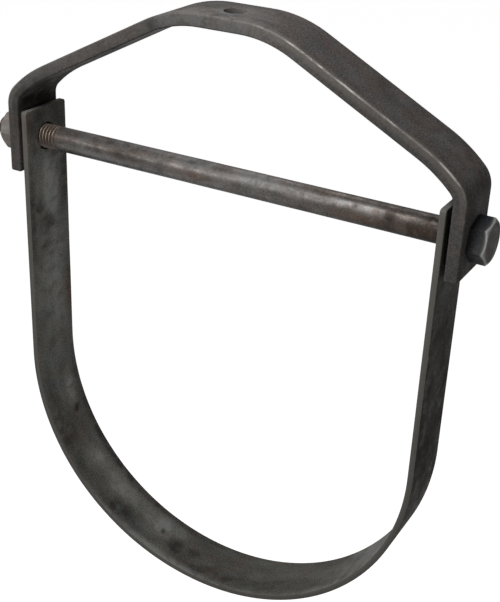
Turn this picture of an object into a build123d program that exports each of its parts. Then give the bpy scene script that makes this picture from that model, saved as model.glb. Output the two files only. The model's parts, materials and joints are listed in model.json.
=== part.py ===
# Clevis hanger for an 8 inch steel pipe, modelled in millimetres.
# The origin is the centre of the pipe's seat. +X runs along the cross bolt towards its head,
# +Y along the pipe, and +Z up through the hole for the hanger rod.
from build123d import *
import os
from math import cos, hypot, radians, sin, sqrt

os.makedirs("parts", exist_ok=True)

# The pipe that lies in the hanger, and the room that it has
pipe_diameter = 219.1
pipe_clearance = 0.95
pipe_to_bolt_gap = 4.15

# The flat bar that the yoke and the lower strap are bent from
bar_width = 31.75
yoke_thickness = 6.35
strap_thickness = 3.175
yoke_edge_rounding = 1.0
strap_edge_break = 0.35

# The ends of the bars, measured from the bolt's axis
strap_end_distance = 16.0
yoke_end_distance = 16.75
strap_corner_radius = 1.6
yoke_corner_radius = 1.2

# How the strap's ends stand inside the yoke's legs
side_clearance = 2.1
swing_clearance = 1.1

# The bends of the yoke: radii are those of the inner face, angles are in degrees
shoulder_radius = 7.5
shoulder_turn = 45.0
shoulder_blend_radius = 65.0
arm_slope = 27.5
crown_radius = 56.0
crown_flat = 21.0
rod_hole_diameter = 11.1

# The cross bolt and its nut. A turn is counted in degrees from having a corner straight up.
bolt_diameter = 12.7
bolt_hole_diameter = 14.3
tip_beyond_nut = 4.6
bolt_tip_chamfer = 1.2
across_flats = 19.05
head_height = 8.3
nut_thickness = 11.1
nut_bore_clearance = 0.1
nut_countersink = 0.6
end_play = 0.2
head_turn = -14.0
nut_turn = 30.0
hex_chamfer_circle = 0.95 * across_flats
hex_chamfer_angle = 30.0

# Places that follow from the sizes above
cradle_radius = pipe_diameter / 2 + pipe_clearance
bolt_height = cradle_radius + pipe_to_bolt_gap + bolt_diameter / 2
strap_top = bolt_height + strap_end_distance
yoke_bottom = bolt_height - yoke_end_distance
yoke_inner = cradle_radius + strap_thickness + side_clearance
yoke_outer = yoke_inner + yoke_thickness

# The strap's corners sweep a circle about the bolt, and the yoke's shoulders stay above it
corner_sweep = hypot(bar_width / 2, strap_end_distance)
rise_over_strap = sqrt(shoulder_radius**2 - (shoulder_radius - side_clearance) ** 2)
shoulder_start = bolt_height + corner_sweep + swing_clearance - rise_over_strap

# The bolt's axis runs along X, and this plane stands across it at the middle of the hanger
bolt_plane = Plane(origin=(0, 0, bolt_height), x_dir=(0, 1, 0), z_dir=(1, 0, 0))
head_seat = yoke_outer + end_play
nut_seat = -yoke_outer - end_play
bolt_length = head_seat - nut_seat + nut_thickness + tip_beyond_nut

# Yoke: one bar bent into a flat crown, two sloping arms and two upright legs.
# Half of its inner face is drawn from the end of a leg to the middle of the crown.
with BuildPart() as yoke:
    with BuildSketch(Plane.XZ):
        with BuildLine():
            leg = Line((yoke_inner, yoke_bottom), (yoke_inner, shoulder_start))
            shoulder = JernArc(leg @ 1, leg % 1, shoulder_radius, shoulder_turn)
            blend_turn = 90 - arm_slope - shoulder_turn
            blend = JernArc(shoulder @ 1, shoulder % 1, shoulder_blend_radius, blend_turn)
            arm_run = (blend @ 1).X - crown_flat / 2 - crown_radius * sin(radians(arm_slope))
            arm_length = arm_run / cos(radians(arm_slope))
            arm = PolarLine(blend @ 1, arm_length, direction=blend % 1)
            crown_bend = JernArc(arm @ 1, arm % 1, crown_radius, arm_slope)
            Line(crown_bend @ 1, (0, (crown_bend @ 1).Y))
            mirror(about=Plane.YZ)
            offset(amount=yoke_thickness, side=Side.RIGHT)
        make_face()
    extrude(amount=bar_width / 2, both=True)
    crown_top = yoke.part.bounding_box().max.Z
    fillet(yoke.edges().filter_by(Axis.X).group_by(Axis.Z)[0], yoke_corner_radius)
    fillet(yoke.faces().filter_by(Axis.Y).edges().group_by(Axis.Z)[1:], yoke_edge_rounding)
    with Locations(bolt_plane):
        Hole(bolt_hole_diameter / 2)
    with Locations((0, 0, crown_top)):
        Hole(rod_hole_diameter / 2, depth=yoke_thickness)
yoke.part.label = "yoke"
export_step(yoke.part, "parts/yoke.step")

# Lower strap: thinner bar bent into a half-circle cradle with two straight legs
with BuildPart() as lower_strap:
    with BuildSketch(Plane.XZ):
        with BuildLine():
            left_leg = Line((-cradle_radius, strap_top), (-cradle_radius, 0))
            cradle = JernArc(left_leg @ 1, left_leg % 1, cradle_radius, 180)
            Line(cradle @ 1, (cradle_radius, strap_top))
            offset(amount=strap_thickness, side=Side.RIGHT)
        make_face()
    extrude(amount=bar_width / 2, both=True)
    fillet(lower_strap.edges().filter_by(Axis.X).group_by(Axis.Z)[-1], strap_corner_radius)
    chamfer(lower_strap.faces().filter_by(Axis.Y).edges().group_by(Axis.Z)[:-1], strap_edge_break)
    with Locations(bolt_plane):
        Hole(bolt_hole_diameter / 2)
lower_strap.part.label = "lower_strap"
export_step(lower_strap.part, "parts/lower_strap.step")

# Cross bolt: hexagon head, then a plain shank with a chamfered tip
with BuildPart() as cross_bolt:
    with BuildSketch(bolt_plane.offset(head_seat)):
        RegularPolygon(across_flats / 2, 6, major_radius=False, rotation=30 + head_turn)
    extrude(amount=head_height)
    with BuildSketch(bolt_plane.offset(head_seat + head_height)):
        Circle(hex_chamfer_circle / 2)
    extrude(amount=-head_height, taper=hex_chamfer_angle - 90, mode=Mode.INTERSECT)
    with BuildSketch(bolt_plane.offset(head_seat)):
        Circle(bolt_diameter / 2)
    extrude(amount=-bolt_length)
    tip = cross_bolt.faces().sort_by(Axis.X)[0]
    chamfer(tip.edges(), bolt_tip_chamfer)
cross_bolt.part.label = "cross_bolt"
export_step(cross_bolt.part, "parts/cross_bolt.step")

# Hexagon nut: both faces are chamfered, and the bore has a countersink at each mouth
with BuildPart() as hex_nut:
    with BuildSketch(bolt_plane.offset(nut_seat)):
        RegularPolygon(across_flats / 2, 6, major_radius=False, rotation=30 + nut_turn)
    extrude(amount=-nut_thickness)
    with BuildSketch(bolt_plane.offset(nut_seat)):
        Circle(hex_chamfer_circle / 2)
    extrude(amount=-nut_thickness, taper=hex_chamfer_angle - 90, mode=Mode.INTERSECT)
    with BuildSketch(bolt_plane.offset(nut_seat - nut_thickness)):
        Circle(hex_chamfer_circle / 2)
    extrude(amount=nut_thickness, taper=hex_chamfer_angle - 90, mode=Mode.INTERSECT)
    with Locations(bolt_plane.offset(nut_seat)):
        Hole(bolt_diameter / 2 + nut_bore_clearance)
    bore_mouths = hex_nut.faces().filter_by(Axis.X).edges().filter_by(GeomType.CIRCLE)
    chamfer(bore_mouths.sort_by(SortBy.RADIUS)[:2], nut_countersink)
hex_nut.part.label = "hex_nut"
export_step(hex_nut.part, "parts/hex_nut.step")
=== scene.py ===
import json
from math import atan2, cos, degrees, hypot, pi, radians, sin
import bmesh
import bpy
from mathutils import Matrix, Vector, noise
from mathutils.geometry import delaunay_2d_cdt


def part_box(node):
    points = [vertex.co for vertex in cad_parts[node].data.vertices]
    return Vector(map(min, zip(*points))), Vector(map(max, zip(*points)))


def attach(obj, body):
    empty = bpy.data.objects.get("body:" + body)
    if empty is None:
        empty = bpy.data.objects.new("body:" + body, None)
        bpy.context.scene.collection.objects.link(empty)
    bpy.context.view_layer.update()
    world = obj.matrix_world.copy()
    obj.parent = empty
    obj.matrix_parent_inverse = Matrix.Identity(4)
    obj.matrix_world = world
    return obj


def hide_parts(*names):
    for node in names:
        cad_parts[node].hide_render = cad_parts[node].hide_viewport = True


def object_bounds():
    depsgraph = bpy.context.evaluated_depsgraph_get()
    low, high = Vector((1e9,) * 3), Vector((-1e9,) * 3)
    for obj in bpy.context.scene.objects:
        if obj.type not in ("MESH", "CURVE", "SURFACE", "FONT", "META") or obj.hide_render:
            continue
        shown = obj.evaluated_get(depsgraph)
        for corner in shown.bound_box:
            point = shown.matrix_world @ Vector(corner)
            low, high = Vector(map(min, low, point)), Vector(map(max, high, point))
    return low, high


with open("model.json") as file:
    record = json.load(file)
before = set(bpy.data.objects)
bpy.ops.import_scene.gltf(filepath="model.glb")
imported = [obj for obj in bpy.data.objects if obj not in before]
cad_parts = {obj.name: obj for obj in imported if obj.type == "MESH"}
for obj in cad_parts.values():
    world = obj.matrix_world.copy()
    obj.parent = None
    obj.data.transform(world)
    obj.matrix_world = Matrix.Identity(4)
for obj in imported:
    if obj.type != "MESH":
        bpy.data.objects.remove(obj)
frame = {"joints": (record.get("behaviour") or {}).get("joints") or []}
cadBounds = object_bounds()
mm = 0.001
boltHeight = next(joint["pos_m"][2] for joint in frame["joints"] if joint["name"] == "strap_swing")


# Helpers for node trees

def colour(red, green, blue):
    # a colour as it looks on screen, 0 to 255, in the linear values that sockets hold
    channels = [c / 255 for c in (red, green, blue)]
    return tuple(c / 12.92 if c < 0.04045 else ((c + 0.055) / 1.055) ** 2.4 for c in channels) + (1,)


def setSocket(tree, node, name, value):
    socket = node.inputs[name]
    if isinstance(value, bpy.types.NodeSocket):
        tree.links.new(value, socket)
    else:
        socket.default_value = value


def addNode(tree, kind, sockets=None, **settings):
    node = tree.nodes.new(kind)
    for name, value in settings.items():
        setattr(node, name, value)
    for name, value in (sockets or {}).items():
        setSocket(tree, node, name, value)
    return node


def noiseOf(tree, vector, scale, detail=4, roughness=0.6, seed=0.0, distortion=0.0):
    node = addNode(tree, "ShaderNodeTexNoise", {"Vector": vector, "W": seed, "Scale": scale, "Detail": detail,
                                                "Roughness": roughness, "Distortion": distortion},
                   noise_dimensions="4D")
    return node.outputs["Fac"]


def calc(tree, operation, a, b=0.0, c=0.0, clamp=False):
    node = addNode(tree, "ShaderNodeMath", {0: a, 1: b, 2: c}, operation=operation, use_clamp=clamp)
    return node.outputs[0]


def remap(tree, value, low, high, toLow=0.0, toHigh=1.0):
    node = addNode(tree, "ShaderNodeMapRange", {"Value": value, "From Min": low, "From Max": high,
                                                "To Min": toLow, "To Max": toHigh},
                   interpolation_type="SMOOTHSTEP")
    return node.outputs["Result"]


def mixColour(tree, factor, a, b, blend="MIX"):
    node = addNode(tree, "ShaderNodeMix", {0: factor, 6: a, 7: b}, data_type="RGBA", blend_type=blend)
    return node.outputs[2]


def drawnAlong(tree, vector, share):
    # a pattern drawn out along the bar
    node = addNode(tree, "ShaderNodeVectorMath", {0: vector, 1: (share, 1.0, 1.0)}, operation="MULTIPLY")
    return node.outputs["Vector"]


def seenDirectly(tree):
    # 1 where the camera, a reflection or a view through glass meets it, and 0 for the light that it gives
    rays = addNode(tree, "ShaderNodeLightPath").outputs
    seen = calc(tree, "MAXIMUM", rays["Is Camera Ray"], rays["Is Glossy Ray"])
    return calc(tree, "MAXIMUM", seen, rays["Is Transmission Ray"])


def makeGroup(name, takes, gives):
    tree = bpy.data.node_groups.new(name, "ShaderNodeTree")
    for label, kind, value in takes:
        socket = tree.interface.new_socket(label, in_out="INPUT", socket_type="NodeSocket" + kind)
        if value is not None:
            socket.default_value = value
    for label, kind in gives:
        tree.interface.new_socket(label, in_out="OUTPUT", socket_type="NodeSocket" + kind)
    return tree, tree.nodes.new("NodeGroupInput").outputs, tree.nodes.new("NodeGroupOutput")


def placeGroup(tree, group, sockets):
    node = tree.nodes.new("ShaderNodeGroup")
    node.node_tree = group
    for name, value in sockets.items():
        setSocket(tree, node, name, value)
    return node.outputs


# Shader groups that several of the steels use

def makeMillScale():
    # patches of thick and thin scale drawn out along the bar, with a finer mottle, tints and a grain
    tree, given, out = makeGroup("Mill scale", [
        ("Vector", "Vector", None), ("Seed", "Float", 0.0), ("Patch Scale", "Float", 45.0),
        ("Contrast", "Float", 1.0), ("Grain", "Float", 0.5), ("Tint", "Float", 0.5), ("Tone Shift", "Float", 0.0),
        ("Thick Scale", "Color", colour(50, 49, 47)), ("Thin Scale", "Color", colour(84, 84, 82))],
        [("Color", "Color"), ("Roughness", "Float"), ("Height", "Float")])
    stretch, mottleScale, grainScale, hueScale = 0.55, 4.2, 1100.0, 90.0
    coolTint, warmTint = (0.92, 1.0, 1.02, 1), (1.13, 0.98, 0.92, 1)
    dullest, glossiest = 0.62, 0.4
    vector, seed = given["Vector"], given["Seed"]
    drawn = drawnAlong(tree, vector, stretch)
    patches = noiseOf(tree, drawn, given["Patch Scale"], 3, 0.5, seed, 0.6)
    mottle = noiseOf(tree, drawn, calc(tree, "MULTIPLY", given["Patch Scale"], mottleScale), 5, 0.62, seed)
    specks = noiseOf(tree, vector, grainScale, 2, 0.7, seed)

    blended = calc(tree, "MULTIPLY_ADD", mottle, 0.45, calc(tree, "MULTIPLY", patches, 0.55))
    spread = calc(tree, "MULTIPLY_ADD", calc(tree, "SUBTRACT", blended, 0.5), given["Contrast"], 0.5)
    tone = calc(tree, "ADD", remap(tree, spread, 0.3, 0.7), given["Tone Shift"], clamp=True)
    plain = mixColour(tree, tone, given["Thick Scale"], given["Thin Scale"])
    hue = noiseOf(tree, vector, hueScale, 5, 0.6, calc(tree, "ADD", seed, 3.0), 0.8)
    tint = mixColour(tree, remap(tree, hue, 0.38, 0.6), coolTint, warmTint)
    tinted = mixColour(tree, given["Tint"], plain, tint, "MULTIPLY")
    bright = calc(tree, "MULTIPLY_ADD", remap(tree, specks, 0.32, 0.68, -1.0, 1.0), given["Grain"], 1.0)
    grained = addNode(tree, "ShaderNodeVectorMath", {0: tinted, "Scale": bright}, operation="SCALE")
    height = calc(tree, "MULTIPLY_ADD", specks, 0.6, calc(tree, "MULTIPLY", mottle, 0.4))
    setSocket(tree, out, "Color", grained.outputs["Vector"])
    setSocket(tree, out, "Roughness", remap(tree, mottle, 0.3, 0.7, dullest, glossiest))
    setSocket(tree, out, "Height", height)
    return tree


def makeEdgeRub():
    # handling rubs an edge bright in a broken line, and more of it where the rub is stronger
    tree, given, out = makeGroup("Edge rub", [
        ("Vector", "Vector", None), ("Edge", "Float", 0.0), ("Rub", "Float", 0.0), ("Amount", "Float", 0.5)],
        [("Mask", "Float")])
    stretch, bitScale, softness = 0.5, 190.0, 0.2
    breaks = noiseOf(tree, drawnAlong(tree, given["Vector"], stretch), bitScale, 7, 0.72, 3.0)
    reach = calc(tree, "MULTIPLY_ADD", given["Rub"], 0.6, given["Amount"])
    start = calc(tree, "SUBTRACT", 0.62, calc(tree, "MULTIPLY", reach, 0.25))
    bits = remap(tree, breaks, start, calc(tree, "ADD", start, softness))
    along = calc(tree, "MULTIPLY_ADD", bits, 0.8, calc(tree, "MULTIPLY", reach, 0.2))
    setSocket(tree, out, "Mask", calc(tree, "MULTIPLY", given["Edge"], along, clamp=True))
    return tree


def makePatch():
    # a placed patch fades into the scale round it, uneven inside, from the strength that its points carry
    tree, given, out = makeGroup("Uneven patch", [
        ("Vector", "Vector", None), ("Strength", "Float", 0.0), ("Seed", "Float", 0.0)], [("Mask", "Float")])
    unevenScale, weakest, strongest = 150.0, 0.25, 1.5
    uneven = noiseOf(tree, given["Vector"], unevenScale, 6, 0.66, given["Seed"], 0.4)
    share = remap(tree, uneven, 0.34, 0.64, weakest, strongest)
    setSocket(tree, out, "Mask", calc(tree, "MULTIPLY", given["Strength"], share, clamp=True))
    return tree


def makeRust():
    # thin brown bloom with a few redder hearts
    tree, given, out = makeGroup("Rust bloom", [
        ("Vector", "Vector", None), ("Seed", "Float", 0.0), ("Bloom Scale", "Float", 60.0),
        ("Cover", "Float", 0.3)],
        [("Mask", "Float"), ("Color", "Color")])
    heartScale, softness = 420.0, 0.14
    bloomColour, heartColour = colour(76, 64, 56), colour(112, 74, 54)
    vector, seed = given["Vector"], given["Seed"]
    bloom = noiseOf(tree, vector, given["Bloom Scale"], 6, 0.68, calc(tree, "ADD", seed, 7.0), 0.4)
    start = calc(tree, "SUBTRACT", 0.78, calc(tree, "MULTIPLY", given["Cover"], 0.4))
    hearts = noiseOf(tree, vector, heartScale, 4, 0.6, seed)
    setSocket(tree, out, "Mask", remap(tree, bloom, start, calc(tree, "ADD", start, softness)))
    setSocket(tree, out, "Color", mixColour(tree, remap(tree, hearts, 0.45, 0.68), bloomColour, heartColour))
    return tree


millScale, edgeRub, unevenPatch, rustBloom = makeMillScale(), makeEdgeRub(), makePatch(), makeRust()


def makeSteel(name, look):
    material = bpy.data.materials.new(name)
    material.use_nodes = True
    tree = material.node_tree
    shader = tree.nodes["Principled BSDF"]
    bumpDepth = 0.12 * mm
    paleCover, darkCover, rubCover, brownCover = 0.5, 0.75, 0.3, 0.75
    paleLightens, darkDeepens = 0.5, 0.7    # how much the pale and dark patches lighten and darken the scale under them; some of these patches are painted light and shade
    rustDulls, wearPolishes, wearBares = 0.12, -0.12, 0.4

    def stored(label, output="Fac"):
        # what the mesh carries at each point
        return addNode(tree, "ShaderNodeAttribute", attribute_name=label).outputs[output]

    def times(value, share):
        return calc(tree, "MULTIPLY", value, share)

    place, rubbed = stored("flat", "Vector"), stored("rub")
    # the pale and dark masks bring in the placed patches, which are tone in the scale and in places painted
    # light and shade
    pale, dark, brown = [placeGroup(tree, unevenPatch, {
        "Vector": place, "Strength": stored(label), "Seed": look["seed"] + k})["Mask"]
        for k, label in enumerate(("pale", "dark", "brown"))]
    scale = placeGroup(tree, millScale, {
        "Vector": place, "Seed": look["seed"], "Patch Scale": look["patchScale"],
        "Contrast": look["contrast"], "Grain": look["grain"], "Tint": look["tint"],
        "Tone Shift": calc(tree, "SUBTRACT", times(pale, paleLightens), times(dark, darkDeepens)),
        "Thick Scale": colour(*look["thickScale"]), "Thin Scale": colour(*look["thinScale"])})
    rust = placeGroup(tree, rustBloom, {
        "Vector": place, "Seed": look["seed"], "Bloom Scale": look["rustScale"], "Cover": look["rustCover"]})
    worn = placeGroup(tree, edgeRub, {
        "Vector": place, "Edge": stored("edge"), "Rub": rubbed, "Amount": look["edgeWear"]})["Mask"]
    rusty = calc(tree, "MAXIMUM", times(rust["Mask"], look["rustDepth"]), times(brown, brownCover))

    # each layer covers the ones before it
    base = scale["Color"]
    for share, layer in ((times(pale, paleCover), colour(*look["paleColour"])),
                         (times(dark, darkCover), colour(*look["darkColour"])),
                         (times(stored("side"), look["sideLift"]), colour(*look["sideColour"])),
                         (times(rubbed, rubCover), colour(*look["rubColour"])),
                         (rusty, rust["Color"]),
                         (worn, colour(*look["wornColour"]))):
        base = mixColour(tree, share, base, layer)

    rough = calc(tree, "ADD", scale["Roughness"], look["roughnessShift"])
    matt = calc(tree, "MULTIPLY_ADD", rusty, rustDulls, rough)
    polished = calc(tree, "MULTIPLY_ADD", worn, wearPolishes, matt, clamp=True)
    metal = calc(tree, "MULTIPLY_ADD", worn, wearBares, look["metallic"], clamp=True)
    bump = addNode(tree, "ShaderNodeBump", {"Height": scale["Height"], "Strength": look["bump"],
                                            "Distance": bumpDepth})
    for socket, value in (("Base Color", base), ("Roughness", polished), ("Metallic", metal),
                          ("Normal", bump.outputs["Normal"]),
                          ("Specular IOR Level", look["specular"]),
                          ("Specular Tint", colour(*look["glancing"]))):
        setSocket(tree, shader, socket, value)
    return material


# Flat bar, punched and rounded while it is flat, then bent along a line of straight runs and bends

cornerSteps, holePoints = 5, 56    # steps round a corner of the bar, and points round a hole
support, clearance = 0.35 * mm, 0.9 * mm    # a second row inside each outline, and free room beside it
fineScale, fineShare = 5, 0.3    # the fine unevenness against the wide one
patchEdge = 1.35    # a patch fades out at this many times its reach
slack = 1e-9    # a point this little before a run still counts as on it
markKinds = ("rub", "pale", "dark", "brown")


def stepAlong(x, z, angle, length, radius):
    if not radius:
        return x + length * cos(angle), z + length * sin(angle), angle
    turned = angle + length / radius
    return x + radius * (sin(turned) - sin(angle)), z + radius * (cos(angle) - cos(turned)), turned


def lineOfRuns(start, heading, runs):
    # each run is its length along the inside face and its inside radius, which is 0 for a straight run
    spots, at = [], 0.0
    x, z, angle = start[0], start[1], radians(heading)
    for length, radius in runs:
        spots.append((at, x, z, angle, radius))
        x, z, angle = stepAlong(x, z, angle, length, radius)
        at += length
    return spots, at


def pointOnLine(spots, s):
    at, x, z, angle, radius = [spot for spot in spots if spot[0] <= s + slack][-1] if s > 0 else spots[0]
    return stepAlong(x, z, angle, s - at, radius)


def cutsAlong(runs, straightStep, bendStep):
    cuts, at = [0.0], 0.0
    for length, radius in runs:
        step = min(straightStep, radius * radians(bendStep)) if radius else straightStep
        count = max(1, round(length / step))
        cuts += [at + length * k / count for k in range(1, count + 1)]
        at += length
    return cuts


def outlineOfBar(length, width, corner, inset, cuts, across):
    # the bar's outline, moved in by inset, as points with their outward directions
    half, radius = width / 2, corner - inset
    along = [s for s in cuts if corner + mm < s < length - corner - mm]
    ends = [w for w in across if abs(w) < half - corner - 0.5 * mm]
    loop = []

    def addCorner(s, w, first):
        for k in range(cornerSteps + 1):
            a = radians(first + 90 * k / cornerSteps)
            loop.append((Vector((s + radius * cos(a), w + radius * sin(a))), Vector((cos(a), sin(a)))))

    addCorner(corner, corner - half, 180)
    loop.extend((Vector((s, inset - half)), Vector((0, -1))) for s in along)
    addCorner(length - corner, corner - half, 270)
    loop.extend((Vector((length - inset, w)), Vector((1, 0))) for w in ends)
    addCorner(length - corner, half - corner, 0)
    loop.extend((Vector((s, half - inset)), Vector((0, 1))) for s in reversed(along))
    addCorner(corner, half - corner, 90)
    loop.extend((Vector((inset, w)), Vector((-1, 0))) for w in reversed(ends))
    return loop


def outlineOfHole(centre, radius):
    return [(Vector((centre + radius * cos(a), radius * sin(a))), Vector((-cos(a), -sin(a))))
            for a in (-2 * pi * k / holePoints for k in range(holePoints))]


def flatNet(bar, length, cuts):
    # points inside the bar, joined to its outlines: the net, its triangles, and where each outline went
    rounding, rim, half = bar["edgeRounding"], bar["rimRounding"], bar["width"] / 2
    steps = bar["acrossSteps"]
    across = [half * k / (steps + 0.5) for k in range(-steps, steps + 1)]
    loops = [(outlineOfBar(length, bar["width"], bar["cornerRadius"], rounding, cuts, across), rounding)]
    loops += [(outlineOfHole(centre, size / 2 + rim), rim) for centre, size in bar["holes"]]
    points, edges, starts = [], [], []
    for loop, _ in loops:
        starts.append(len(points))
        for shift in (0.0, support):
            first, count = len(points), len(loop)
            points += [p - n * shift for p, n in loop]
            edges += [(first + k, first + (k + 1) % count) for k in range(count)]
    margin = rounding + support + clearance
    for s in cuts:
        for w in across:
            inside = margin < s < length - margin and abs(w) < half - margin
            if inside and all(hypot(s - c, w) > d / 2 + rim + support + clearance for c, d in bar["holes"]):
                points.append(Vector((s, w)))
    net, _, triangles, origins = delaunay_2d_cdt([p / mm for p in points], edges, [], 0, 1e-5)[:4]
    place = {source: index for index, sources in enumerate(origins) for source in sources}
    outlines = [(loop, radius, [place[start + k] for k in range(len(loop))])
                for (loop, radius), start in zip(loops, starts)]
    return net, triangles, outlines


def flatBar(bar, length, cuts):
    # both faces share one net of points, and each outline is joined by rows that round the edge
    thick = bar["thickness"]
    net, triangles, outlines = flatNet(bar, length, cuts)
    mesh = bmesh.new()
    edgeLayer = mesh.verts.layers.float.new("edge")
    sideLayer = mesh.verts.layers.float.new("side")
    outer = [mesh.verts.new((p.x * mm, p.y * mm, thick)) for p in net]
    inner = [mesh.verts.new((p.x * mm, p.y * mm, 0.0)) for p in net]
    for triangle in triangles:
        middle = sum((net[k] for k in triangle), Vector((0, 0))) / 3 * mm
        if all(hypot(middle.x - c, middle.y) > d / 2 + bar["rimRounding"] * 0.9 for c, d in bar["holes"]):
            mesh.faces.new([outer[k] for k in triangle])
            mesh.faces.new([inner[k] for k in reversed(triangle)])
    for loop, radius, spots in outlines:
        steps = 4 if radius > 0.5 * mm else 2
        profile = [(radius * sin(pi / 2 * k / steps), thick - radius * (1 - cos(pi / 2 * k / steps)),
                    sin(pi * k / steps)) for k in range(1, steps + 1)]
        wall = [(radius, thick * (1 - k / 3) + (radius * (2 * k / 3 - 1)), 0.0) for k in (1, 2)]
        lower = [(out, thick - up, edge) for out, up, edge in reversed(profile)]
        rows = [[outer[k] for k in spots]]
        for out, up, edge in profile + wall + lower:
            row = []
            for p, n in loop:
                vert = mesh.verts.new((p.x + n.x * out, p.y + n.y * out, up))
                vert[edgeLayer] = edge
                vert[sideLayer] = 1.0 if out > 0.9 * radius else 0.5
                row.append(vert)
            rows.append(row)
        rows.append([inner[k] for k in spots])
        count = len(loop)
        for upper, under in zip(rows, rows[1:]):
            for k in range(count):
                mesh.faces.new((upper[k], under[k], under[(k + 1) % count], upper[(k + 1) % count]))
    bmesh.ops.recalc_face_normals(mesh, faces=mesh.faces)
    return mesh


def patchFade(along, across):
    fade = max(0.0, 1 - hypot(along, across) / patchEdge)
    return fade * fade * (3 - 2 * fade)


def finishPiece(name, mesh, body, node, steels):
    bmesh.ops.recalc_face_normals(mesh, faces=mesh.faces)
    data = bpy.data.meshes.new(name)
    mesh.to_mesh(data)
    mesh.free()
    data.shade_smooth()
    for steel in steels:
        data.materials.append(steel)
    piece = bpy.data.objects.new(name, data)
    bpy.context.scene.collection.objects.link(piece)
    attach(piece, body)
    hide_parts(node)
    print(name, "made,", len(data.vertices), "points")
    return data


def bendBar(name, bar, start, heading, runs, body, node, steel):
    spots, length = lineOfRuns(start, heading, runs)
    mesh = flatBar(bar, length, cutsAlong(runs, bar["straightStep"], bar["bendStep"]))
    mesh.normal_update()
    flatLayer = mesh.verts.layers.float_vector.new("flat")
    layers = {kind: mesh.verts.layers.float.new(kind) for kind in markKinds}
    for vert in mesh.verts:
        vert[flatLayer] = vert.co
        s, w, t = vert.co
        for kind, face, places in bar["marks"]:
            if face in ("both", "outer" if t > bar["thickness"] / 2 else "inner"):
                for at, across, reach, spread, strength in places:
                    fade = patchFade((s / mm - at) / reach, (w / mm - across) / spread)
                    vert[layers[kind]] = min(1.0, vert[layers[kind]] + strength * fade)
        wide = 0.5 + 0.5 * noise.noise(vert.co * bar["waveScale"] + Vector((bar["waveSeed"], 0, 0)))
        fine = 0.5 + 0.5 * noise.noise(vert.co * bar["waveScale"] * fineScale)
        vert.co -= vert.normal * (bar["waveDepth"] * wide + fineShare * bar["waveDepth"] * fine)
        s, w, t = vert.co
        x, z, angle = pointOnLine(spots, s)
        vert.co = (x + sin(angle) * t, w, z - cos(angle) * t)
    finishPiece(name, mesh, body, node, [steel])


# Yoke

yoke = {
    "thickness": 6.35 * mm, "edgeRounding": 1.0 * mm, "cornerRadius": 1.2 * mm, "rimRounding": 0.3 * mm,
    "endDistance": 16.75 * mm, "boltHole": 14.3 * mm, "rodHole": 11.1 * mm,
    "legStraight": 35.184 * mm, "shoulderRadius": 7.5 * mm, "shoulderTurn": 45, "blendRadius": 65 * mm,
    "armSlope": 27.5, "crownRadius": 56 * mm, "crownFlat": 21 * mm,
    "straightStep": 2.5 * mm, "bendStep": 3.0, "acrossSteps": 6,
    "waveScale": 38.0, "waveSeed": 4.0, "waveDepth": 0.1 * mm,
    "look": {
        "seed": 1.0, "patchScale": 38.0, "contrast": 0.75, "grain": 0.48, "tint": 0.6,
        "thickScale": (62, 60, 59), "thinScale": (84, 81, 80),
        "paleColour": (118, 117, 115), "darkColour": (34, 30, 27),
        "rustScale": 70.0, "rustCover": 0.34, "rustDepth": 0.4,
        "edgeWear": 0.12, "wornColour": (176, 172, 168), "rubColour": (128, 122, 114),
        "sideLift": 0.3, "sideColour": (104, 101, 98),
        "roughnessShift": 0.08, "metallic": 0.02, "specular": 0.01, "glancing": (70, 70, 70), "bump": 0.55,
    },
    # where the colour differs, from the scale and in places from painted light and shade, by kind and face:
    # along, across, reach along and across in mm, strength
    "marks": [
        ("rub", "outer", [
            (80, -16, 62, 3, 0.85), (42, -16, 8, 4, 0.7), (54, -16, 6, 4, 1.0), (64, -16, 5, 4, 1.0),
            (128, -16, 36, 3, 0.8), (296, -16, 8, 4, 0.9), (165, 2, 26, 15, 0.25)]),
        # the pale spots from 156 to 182 mm along, on the crown's front, round the rod hole and on the crown's
        # top, are partly painted light from above, the crown being lit brightest
        ("pale", "both", [
            (168, -16, 46, 7, 0.9), (265, -16, 40, 6, 0.5), (167, 0, 8, 8, 1.0)]),
        ("pale", "inner", [(205, 0, 24, 13, 0.9)]),
        ("pale", "outer", [
            (156, 2, 10, 14, 0.2), (182, -8, 14, 9, 0.5), (46, 2, 18, 14, 0.4), (80, 3, 60, 18, 0.22),
            (162, -2, 26, 16, 0.3)]),
        ("dark", "both", [(202, -16, 3, 3, 0.8)]),
        # the dark spots on the inner face are painted shade under the left arm, round the left shoulder and
        # down the inside of the left leg
        ("dark", "inner", [
            (238, 3, 26, 13, 1.0), (262, 3, 32, 13, 1.0), (292, 0, 30, 40, 0.8)]),
        ("brown", "outer", [
            (95, 3, 9, 10, 0.25), (68, 4, 12, 12, 0.22), (140, -10, 8, 5, 0.25), (48, 4, 10, 12, 0.25)]),
    ],
}


def makeYoke():
    low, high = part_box("yoke")
    bar = dict(yoke, width=high.y - low.y)
    inside = high.x - bar["thickness"]
    slope = radians(bar["armSlope"])
    shoulder = (bar["shoulderRadius"] * radians(bar["shoulderTurn"]), bar["shoulderRadius"])
    blend = (bar["blendRadius"] * radians(90 - bar["armSlope"] - bar["shoulderTurn"]), bar["blendRadius"])
    bent = [(bar["legStraight"], 0), shoulder, blend]
    spots = lineOfRuns((inside, low.z), 90, bent + [(0.0, 0)])[0]
    armRun = spots[-1][1] - bar["crownFlat"] / 2 - bar["crownRadius"] * sin(slope)
    half = bent + [(armRun / cos(slope), 0), (bar["crownRadius"] * slope, bar["crownRadius"])]
    runs = half + [(bar["crownFlat"], 0)] + half[::-1]
    length = sum(run[0] for run in runs)
    bar["holes"] = [(bar["endDistance"], bar["boltHole"]), (length / 2, bar["rodHole"]),
                    (length - bar["endDistance"], bar["boltHole"])]
    bendBar("yoke_bar", bar, (inside, low.z), 90, runs, "yoke", "yoke",
            makeSteel("yokeSteel", yoke["look"]))


makeYoke()


# Lower strap

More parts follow.
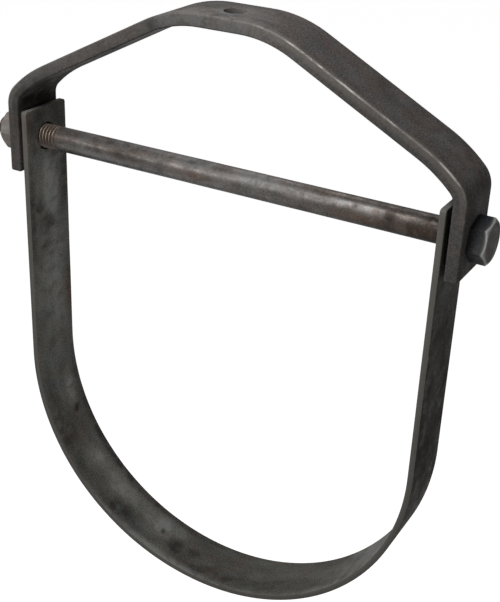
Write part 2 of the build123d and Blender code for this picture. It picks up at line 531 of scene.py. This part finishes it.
strap = {
    "thickness": 3.175 * mm, "edgeRounding": 0.35 * mm, "cornerRadius": 1.6 * mm, "rimRounding": 0.2 * mm,
    "endDistance": 16.0 * mm, "boltHole": 14.3 * mm,
    "straightStep": 2.0 * mm, "bendStep": 1.0, "acrossSteps": 8,
    "waveScale": 30.0, "waveSeed": 9.0, "waveDepth": 0.1 * mm,
    "look": {
        "seed": 5.0, "patchScale": 34.0, "contrast": 0.85, "grain": 0.38, "tint": 0.5,
        "thickScale": (76, 74, 71), "thinScale": (111, 111, 106),
        "paleColour": (146, 148, 146), "darkColour": (38, 36, 33),
        "rustScale": 55.0, "rustCover": 0.22, "rustDepth": 0.35,
        "edgeWear": 0.4, "wornColour": (150, 146, 140), "rubColour": (110, 84, 68),
        "sideLift": 0.85, "sideColour": (112, 109, 104),
        "roughnessShift": 0.08, "metallic": 0.0, "specular": 0.006, "glancing": (120, 120, 120), "bump": 0.5,
    },
    # as for the yoke, and a spot that is given twice has a harder edge
    "marks": [
        # the pale spots along the front edge, across -16 mm, round the bottom of the cradle are a painted
        # highlight on that edge
        ("pale", "both", [
            (290, -16, 60, 3, 0.8), (272, -16, 45, 4, 1.0), (405, -16, 45, 5, 1.0)]),
        # the first five pale spots on the inner face paint a sheen down the middle of the left leg's inside
        # face, and the dark spots along its two edges at 40 and 55 mm along paint its darker sides; the rest
        # are tone
        ("pale", "inner", [
            (40, 1, 17, 7, 1.0), (32, 9, 9, 6, 0.7), (50, 3, 12, 5, 0.6), (98, 2, 42, 9, 0.5),
            (85, 0, 60, 20, 0.3), (168, 6, 12, 5, 0.8), (213, 2, 8, 6, 0.6), (236, 2, 8, 6, 0.8),
            (235, 5, 45, 6, 0.4), (267, 1, 10, 7, 1.0), (276, 7, 12, 6, 0.6), (425, 0, 38, 40, 1.0)]),
        ("dark", "inner", [
            (2, 0, 7, 18, 0.15), (55, -14, 40, 3.5, 0.5), (64, -3, 8, 7, 0.6), (53, -8, 5, 4, 0.8),
            (77, -2, 2.5, 7, 0.6), (40, 13, 22, 3.5, 0.5), (182, 5.5, 2.5, 2.5, 1.0), (182, 5.5, 2, 2, 1.0),
            (247, -8, 16, 9, 0.45), (284, -4, 5, 7, 0.7), (312, -9, 24, 8, 0.35), (348, -8, 24, 8, 0.35),
            (170, -10, 22, 6, 0.35), (10, -9, 22, 9, 0.35), (294, 0, 5, 5, 0.5), (192, -8, 14, 9, 0.35),
            (225, 14, 90, 3, 0.6), (272, 0.8, 2, 2, 1.0), (225, -11, 55, 5, 0.25)]),
        # these two dark patches cover the whole outer face from the bottom of the cradle up the right leg,
        # painted shade on the side that faces away from the light
        ("dark", "outer", [
            (500, 0, 75, 60, 1.0), (400, 0, 90, 60, 1.0)]),
        ("brown", "both", [(107, 16, 15, 3, 1.0)]),
        ("brown", "inner", [
            (405, -12, 25, 3, 0.5), (107, 13, 17, 3.5, 1.0), (81, -9, 7, 6, 0.5), (122, -11, 9, 4, 0.4),
            (192, 0, 12, 14, 0.25), (8, -13, 9, 4, 0.6), (312, -8, 8, 5, 0.3)]),
    ],
}


def makeStrap():
    low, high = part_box("lower_strap")
    bar = dict(strap, width=high.y - low.y)
    cradle = high.x - bar["thickness"]
    runs = [(high.z, 0), (cradle * pi, cradle), (high.z, 0)]
    length = sum(run[0] for run in runs)
    bar["holes"] = [(bar["endDistance"], bar["boltHole"]), (length - bar["endDistance"], bar["boltHole"])]
    bendBar("strap_bar", bar, (-cradle, high.z), -90, runs, "strap", "lower_strap",
            makeSteel("strapSteel", strap["look"]))


makeStrap()


# Cross bolt and nut: rings of points round the bolt's axis, each a function of the angle

chamferSlope = 0.57735    # drop for each step outward, for 30 degrees
cornerReach, cornerCut = 2.2, 0.6    # reach and depth of a hexagon's corner rounding, in softnesses


def hexRadius(angle, flats, softness, turned):
    # distance from the axis to a hexagon's side, with its corners a little rounded
    turn = (angle - radians(90 + turned)) % (pi / 3)
    nearCorner = min(turn, pi / 3 - turn) * flats / 2 / cos(pi / 6)
    cut = max(0.0, 1 - nearCorner / (cornerReach * softness)) ** 2 * cornerCut
    return flats / 2 / cos(turn - pi / 6) - softness * cut


def hexAngles(turned):
    # closer steps beside each corner
    steps = [0, 1.5, 3.5, 7, 12, 18, 24, 30, 36, 42, 48, 53, 56.5, 58.5]
    return [radians(90 + turned + 60 * side + step) for side in range(6) for step in steps]


def roundRow(x, radius, wear=0.0):
    return (lambda angle: (x, radius)), wear


def sideRow(x, side, cut=0.0, wear=0.0):
    return (lambda angle: (x, side(angle) - cut)), wear


def chamferRows(face, inward, top, side, wear):
    # from the rim of an end face over the chamfer to the sides, with how worn each row is; on the bolt's head
    # this brightness is partly a painted highlight along the chamfer
    def cone(angle, share):
        reach = top + (side(angle) - top) * share
        return face + inward * (reach - top) * chamferSlope, reach

    def below(angle, drop, cut=0.0):
        return cone(angle, 1.0)[0] + inward * drop * mm, side(angle) - cut * mm

    rows = [lambda a: (face + inward * 0.02 * mm, top), lambda a: cone(a, 0.4), lambda a: cone(a, 0.85),
            lambda a: below(a, 0.05, 0.06), lambda a: below(a, 0.3), lambda a: below(a, 0.9)]
    return list(zip(rows, wear))


def ringsToMesh(rows, angles, closedRows):
    # each row gives x along the bolt and the radius for an angle, and how worn the ring is
    mesh = bmesh.new()
    edgeLayer = mesh.verts.layers.float.new("edge")
    flatLayer = mesh.verts.layers.float_vector.new("flat")
    for kind in ("side",) + markKinds:
        mesh.verts.layers.float.new(kind)
    rings = []
    for row, edge in rows:
        ring = []
        for angle in angles:
            x, radius = row(angle)
            vert = mesh.verts.new((x, radius * cos(angle), boltHeight + radius * sin(angle)))
            vert[edgeLayer] = edge
            vert[flatLayer] = vert.co
            ring.append(vert)
        rings.append(ring)
    count = len(angles)
    pairs = list(zip(rings, rings[1:])) + ([(rings[-1], rings[0])] if closedRows else [])
    for upper, under in pairs:
        for k in range(count):
            mesh.faces.new((upper[k], upper[(k + 1) % count], under[(k + 1) % count], under[k]))
    if not closedRows:
        for ring, row in ((rings[0], rows[0]), (rings[-1], rows[-1])):
            centre = mesh.verts.new((row[0](0)[0], 0, boltHeight))
            centre[flatLayer] = centre.co
            for k in range(count):
                mesh.faces.new((centre, ring[(k + 1) % count], ring[k]))
    return mesh


bolt = {
    "headHeight": 8.3 * mm, "acrossFlats": 19.05 * mm, "chamferCircle": 0.95 * 19.05 * mm,
    # the head's chamfer rows and its strong edge wear in headLook make a broad bright ridge, partly wear and
    # partly a painted highlight on the rounded chamfer
    "softness": 0.3 * mm, "headTurn": -14, "chamferWearAndSheen": (0.5, 0.6, 0.9, 1.0, 0.8, 0.2),
    "diameter": 12.7 * mm, "undersize": 0.03 * mm, "wobble": 0.04 * mm, "wobbleScale": 60,
    "shankStart": 2 * mm, "shankStep": 1.5 * mm, "tipChamfer": 1.2 * mm,
    "threadPitch": 25.4 / 13 * mm, "threadDepth": 1.15 * mm, "threadEnd": -100.5 * mm, "runOut": 2.5 * mm,
    "perPitch": 14, "crestWear": 0.7, "crestDepth": 0.35 * mm,
    "faceRings": (2.0, 5.0, 7.5), "sideRows": (6.0, 4.5, 3.0, 1.5, 0.4), "underRings": (8.6, 7.6, 6.8),
    "tipRings": (4.4, 3.0, 1.5),    # these four in mm
    "look": {
        "seed": 11.0, "patchScale": 40.0, "contrast": 0.9, "grain": 0.32, "tint": 0.45,
        "thickScale": (66, 60, 56), "thinScale": (96, 92, 89),
        "paleColour": (130, 130, 130), "darkColour": (40, 37, 34),
        "rustScale": 90.0, "rustCover": 0.38, "rustDepth": 0.35,
        "edgeWear": 0.45, "wornColour": (186, 172, 152), "rubColour": (120, 112, 104),
        "sideLift": 0.0, "sideColour": (100, 95, 90),
        "roughnessShift": -0.1, "metallic": 0.5, "specular": 0.3, "glancing": (96, 94, 92), "bump": 0.6,
    },
    "headLook": {
        "seed": 13.0, "thickScale": (44, 46, 49), "thinScale": (58, 60, 63), "rustCover": 0.2,
        "edgeWear": 1.5, "metallic": 0.0, "specular": 0.02, "wornColour": (150, 150, 147),
    },
    # where the colour differs, by kind: along in mm, degrees round, reach along and round in mm, strength;
    # many of these are painted light and shade, as said below
    "marks": [
        ("rub", [(-108, 135, 10, 7, 0.8)]),
        # most pale spots paint the highlight band along the upper front of the shank and a lighter lower side
        ("pale", [
            (94, 142, 5, 2.5, 0.2), (76, 150, 8, 4, 0.6), (16, 124, 16, 4, 1.0), (68, 140, 14, 2.5, 1.0),
            (40, 145, 12, 4, 0.6), (57, 143, 7, 3, 0.5), (-5, 160, 50, 6, 0.4), (-80, 190, 24, 6, 0.5),
            (-50, 120, 70, 2.5, 0.7), (-30, 98, 80, 3, 0.4), (-25, 224, 95, 4.5, 0.8),
            (126, 176, 5, 12, 0.3)]),
        # the dark spots at the top, under the highlight, along the lower side of the right end and next to
        # the strap are painted shade; the smallest are pits, and the ring at 131 mm darkens the head's face
        ("dark", [
            (-75, 163, 38, 2.5, 0.45), (90, 80, 50, 4.0, 1.0), (102, 218, 26, 7.0, 1.0),
            (102, 188, 14, 5, 0.4), (84.5, 147, 2.6, 2.2, 1.0), (84.5, 147, 3.2, 2.6, 1.0),
            (67.5, 140, 1.6, 1.6, 1.0), (106, 150, 8, 9, 1.0), (131, 156, 2.0, 60, 1.0)]),
        ("brown", [
            (-46, 128, 8, 2.5, 0.6), (-17, 178, 15, 2.0, 0.8), (79, 146, 4, 3, 0.5),
            (104, 190, 22, 6, 0.25), (60, 200, 18, 3, 0.3), (76, 182, 22, 4, 0.4), (-107, 150, 9, 40, 0.7),
            (131, 200, 2.0, 6, 0.5)]),
    ],
}


def threadDip(turns):
    # share of the full depth over one pitch: crest, flank, root, flank
    u = turns % 1.0
    crest, flank = 0.07, 0.33
    return max(0.0, min(1.0, (0.5 - abs(u - 0.5) - crest) / flank))


def shankPoint(angle, x, tip):
    radius = bolt["diameter"] / 2
    wobble = bolt["wobble"] * noise.noise(Vector((x * bolt["wobbleScale"], cos(angle), sin(angle))))
    cut = min(1.0, max(0.0, (bolt["threadEnd"] - x) / bolt["runOut"]))
    dip = bolt["threadDepth"] * cut * threadDip(x / bolt["threadPitch"] - angle / (2 * pi))
    return x, min(radius - bolt["undersize"] - wobble - dip, radius - bolt["tipChamfer"] + (x - tip))


def shankStops(start, tip):
    # wide steps on the plain shank, and fine ones along the thread
    stops, x = [], start
    while x > bolt["threadEnd"]:
        stops.append(x)
        x -= bolt["shankStep"]
    x = bolt["threadEnd"]
    while x > tip + 0.01 * mm:
        stops.append(x)
        x -= bolt["threadPitch"] / bolt["perPitch"]
    return stops + [tip]


def markBolt(mesh, seat):
    radius = bolt["diameter"] / 2
    layers = {kind: mesh.verts.layers.float[kind] for kind in ("edge",) + markKinds}
    for vert in mesh.verts:
        x, y, z = vert.co.x, vert.co.y, vert.co.z - boltHeight
        out, turned, onHead = hypot(y, z), degrees(atan2(z, y)), x > seat - 1 * mm
        if x < bolt["threadEnd"]:
            vert[layers["edge"]] = max(0.0, 1 - (radius - out) / bolt["crestDepth"]) * bolt["crestWear"]
        for kind, places in bolt["marks"]:
            for at, turn, reach, spread, strength in places:
                if onHead == (at * mm > seat):
                    aside = radians((turned - turn + 180) % 360 - 180) * out / mm
                    fade = patchFade((x / mm - at) / reach, aside / spread)
                    vert[layers[kind]] = min(1.0, vert[layers[kind]] + strength * fade)


def makeBolt():
    low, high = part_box("cross_bolt")
    seat = high.x - bolt["headHeight"]
    radius, top = bolt["diameter"] / 2, bolt["chamferCircle"] / 2

    def side(angle):
        return hexRadius(angle, bolt["acrossFlats"], bolt["softness"], bolt["headTurn"])

    # head face, chamfer, sides, underside, fillet, shank with thread, tip
    rows = [roundRow(high.x, r * mm) for r in bolt["faceRings"]] + [roundRow(high.x, top - 0.5 * mm)]
    rows += chamferRows(high.x, -1, top, side, bolt["chamferWearAndSheen"])
    rows += [sideRow(seat + x * mm, side) for x in bolt["sideRows"]]
    rows += [sideRow(seat + 0.1 * mm, side, 0.04 * mm, 0.8), sideRow(seat, side, 0.3 * mm, 0.2)]
    rows += [roundRow(seat, r * mm) for r in bolt["underRings"]]
    rows += [roundRow(seat - 0.2 * mm, radius + 0.12 * mm), roundRow(seat - 0.6 * mm, radius)]
    stops = shankStops(seat - bolt["shankStart"], low.x)
    rows += [(lambda a, x=x: shankPoint(a, x, low.x), 0.0) for x in stops]
    rows += [roundRow(low.x, r * mm) for r in bolt["tipRings"]]
    mesh = ringsToMesh(rows, hexAngles(bolt["headTurn"]), False)
    markBolt(mesh, seat)
    headLook = dict(bolt["look"], **bolt["headLook"])
    steels = [makeSteel("boltSteel", bolt["look"]), makeSteel("headSteel", headLook)]
    data = finishPiece("bolt_with_thread", mesh, "bolt", "cross_bolt", steels)
    for face in data.polygons:
        face.material_index = 1 if face.center.x > seat - 0.5 * mm else 0


makeBolt()


nut = {
    "bore": 12.9 * mm, "countersink": 0.6 * mm, "softness": 0.3 * mm, "turn": 30, "acrossFlats": 19.05 * mm,
    "chamferCircle": 0.95 * 19.05 * mm, "chamferWearAndSheen": (0.5, 0.2, 0.5, 1.0, 0.3, 0.0),
    "look": {
        "seed": 17.0, "patchScale": 90.0, "contrast": 0.8, "grain": 0.12, "tint": 0.4,
        "thickScale": (100, 95, 90), "thinScale": (124, 119, 114),
        "paleColour": (150, 148, 146), "darkColour": (60, 57, 54),
        "rustScale": 110.0, "rustCover": 0.3, "rustDepth": 0.3,
        "edgeWear": 0.5, "wornColour": (186, 180, 172), "rubColour": (140, 132, 126),
        "sideLift": 0.0, "sideColour": (120, 115, 110),
        "roughnessShift": 0.0, "metallic": 0.25, "specular": 0.3, "glancing": (180, 180, 180), "bump": 0.3,
    },
}


def makeNut():
    low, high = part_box("hex_nut")
    bore, cut, top = nut["bore"] / 2, nut["countersink"], nut["chamferCircle"] / 2

    def side(angle):
        return hexRadius(angle, nut["acrossFlats"], nut["softness"], nut["turn"])

    def endRows(face, inward):
        # from the bore's mouth over one end face to the top of the sides
        mouth = [roundRow(face + inward * cut, bore, 0.3),
                 roundRow(face + inward * 0.05 * mm, bore + cut * 0.95, 0.8),
                 roundRow(face, bore + cut + 0.1 * mm, 0.2),
                 roundRow(face, (bore + cut + top) / 2),
                 roundRow(face, top - 0.3 * mm)]
        return mouth + chamferRows(face, inward, top, side, nut["chamferWearAndSheen"])

    middle = [sideRow(low.x + (high.x - low.x) * share, side) for share in (0.65, 0.5, 0.35)]
    inside = [roundRow(low.x + (high.x - low.x) * share, bore) for share in (0.2, 0.4, 0.6, 0.8)]
    rows = endRows(high.x, -1) + middle + endRows(low.x, 1)[::-1] + inside
    mesh = ringsToMesh(rows, hexAngles(nut["turn"]), True)
    finishPiece("nut_chamfered", mesh, "bolt", "hex_nut", [makeSteel("nutSteel", nut["look"])])


makeNut()


# Floor, world, lamps and camera

# lamps: name, place, what it points at, size in metres, watts
studio = {
    "floorDrop": 336 * mm, "floorSize": 8.0, "floorColour": 0.8, "floorRoughness": 0.9, "floorLift": 0.94,
    "worldLight": 0.06,
    "lamps": [("keyLamp", (-0.7, -1.0, 0.7), (0.0, 0.0, 0.05), 0.6, 4.6),
              ("crownLamp", (0.0, -0.2, 0.45), (0.0, 0.0, 0.19), 0.2, 1.1),
              ("crownBackLamp", (-0.1, 0.3, 0.45), (0.0, 0.0, 0.19), 0.2, 0.4),
              ("cradleLamp", (0.08, 0.38, -0.2), (-0.11, 0.0, 0.0), 0.15, 0.5),
              ("sideLamp", (0.9, -0.25, 0.1), (0.0, 0.0, 0.0), 0.4, 0.95)],
    "lens": 68.767, "sensorWidth": 36, "cameraPlace": (0.2577, -0.4471, 0.3151),
    "cameraTurn": (63.378, -2.2, 29.754),
}


def makeFloor():
    half, z = studio["floorSize"] / 2, cadBounds[0].z - studio["floorDrop"]
    mesh = bpy.data.meshes.new("floor")
    corners = [(-half, -half, z), (half, -half, z), (half, half, z), (-half, half, z)]
    mesh.from_pydata(corners, [], [(0, 1, 2, 3)])
    floor = bpy.data.objects.new("floor", mesh)
    bpy.context.scene.collection.objects.link(floor)
    material = bpy.data.materials.new("floorPaper")
    material.use_nodes = True
    tree = material.node_tree
    pale = studio["floorColour"]
    glow = calc(tree, "MULTIPLY", seenDirectly(tree), studio["floorLift"])
    for socket, value in (("Base Color", (pale, pale, pale, 1)), ("Roughness", studio["floorRoughness"]),
                          ("Specular IOR Level", 0.0), ("Emission Color", (1, 1, 1, 1)),
                          ("Emission Strength", glow)):
        setSocket(tree, tree.nodes["Principled BSDF"], socket, value)
    mesh.materials.append(material)


def makeWorld():
    # white to the camera, and a weak fill light on the object
    world = bpy.data.worlds.new("paleRoom")
    bpy.context.scene.world = world
    world.use_nodes = True
    tree = world.node_tree
    level = addNode(tree, "ShaderNodeMapRange", {
        "Value": seenDirectly(tree), "To Min": studio["worldLight"], "To Max": 1.0})
    setSocket(tree, tree.nodes["Background"], "Color", (1, 1, 1, 1))
    setSocket(tree, tree.nodes["Background"], "Strength", level.outputs["Result"])


def makeLamps():
    for name, place, target, size, power in studio["lamps"]:
        lamp = bpy.data.lights.new(name, "AREA")
        lamp.shape, lamp.size, lamp.energy = "DISK", size, power
        holder = bpy.data.objects.new(name, lamp)
        holder.location = place
        holder.visible_camera = False
        holder.rotation_euler = (Vector(target) - Vector(place)).to_track_quat("-Z", "Y").to_euler()
        bpy.context.scene.collection.objects.link(holder)


def makeCamera():
    data = bpy.data.cameras.new("camera")
    data.lens, data.sensor_width = studio["lens"], studio["sensorWidth"]
    camera = bpy.data.objects.new("camera", data)
    camera.location = studio["cameraPlace"]
    camera.rotation_euler = [radians(a) for a in studio["cameraTurn"]]
    bpy.context.scene.collection.objects.link(camera)
    bpy.context.scene.camera = camera


makeFloor()
makeWorld()
makeLamps()
makeCamera()
bpy.context.scene.view_settings.view_transform = "Standard"
print("studio and camera set")
